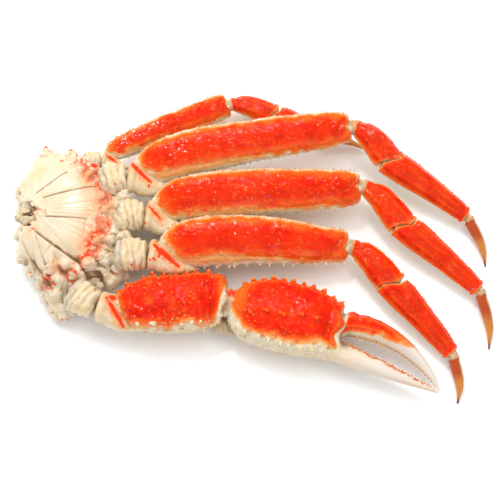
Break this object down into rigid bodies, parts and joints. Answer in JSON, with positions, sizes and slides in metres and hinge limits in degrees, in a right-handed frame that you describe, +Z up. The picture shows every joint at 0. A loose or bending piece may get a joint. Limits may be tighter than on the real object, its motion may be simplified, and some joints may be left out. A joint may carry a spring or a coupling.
{
  "type": "snow crab cluster",
  "caption": "Cooked snow crab cluster: half a cream body section with folded plates, curved red walking legs in jointed links and a toothed claw, lying flat.",
  "frame": {"origin": "on the table under the middle of the cluster's bounding box", "axes": "+X from the body towards the leg tips, +Y towards the rear legs, away from the claw, +Z up off the table"},
  "size_m": [0.2484, 0.1688, 0.0288],
  "materials": {
    "body_cream": "moist cream shell with an orange blush",
    "joint_cream": "glossy cream shell and wrinkled skin",
    "shell_red": "glossy red-orange shell with cream edges and small granules",
    "membrane": "moist grey-cream joint skin",
    "tip_brown": "polished amber to dark brown horn",
    "finger_white": "porcelain cream shell, red at the base"
  },
  "bodies": {
    "root": {"body": "body_cream", "leg_1_coxa": "joint_cream", "leg_1_ischium": "joint_cream", "leg_1_merus": "shell_red", "leg_1_knee_neck": "membrane", "leg_1_carpus": "shell_red", "leg_1_wrist_neck": "membrane", "leg_1_propodus": "shell_red", "leg_1_ankle_neck": "membrane", "leg_1_dactyl": "tip_brown", "leg_2_coxa": "joint_cream", "leg_2_ischium": "joint_cream", "leg_2_merus": "shell_red", "leg_2_knee_neck": "membrane", "leg_2_carpus": "shell_red", "leg_2_wrist_neck": "membrane", "leg_2_propodus": "shell_red", "leg_2_ankle_neck": "membrane", "leg_2_dactyl": "tip_brown", "leg_3_coxa": "joint_cream", "leg_3_ischium": "joint_cream", "leg_3_merus": "shell_red", "leg_3_knee_neck": "membrane", "leg_3_carpus": "shell_red", "leg_3_wrist_neck": "membrane", "leg_3_propodus": "shell_red", "leg_3_ankle_neck": "membrane", "leg_3_dactyl": "tip_brown", "leg_4_coxa": "joint_cream", "leg_4_ischium": "joint_cream", "leg_4_merus": "shell_red", "leg_4_knee_neck": "membrane", "leg_4_carpus": "shell_red", "leg_4_wrist_neck": "membrane", "leg_4_propodus": "shell_red", "leg_4_ankle_neck": "membrane", "leg_4_dactyl": "tip_brown", "claw_coxa": "joint_cream", "claw_ischium": "joint_cream", "claw_merus": "shell_red", "claw_elbow_neck": "membrane", "claw_palm": "shell_red", "claw_hinge_neck": "membrane", "claw_finger": "finger_white"}
  },
  "joints": []
}
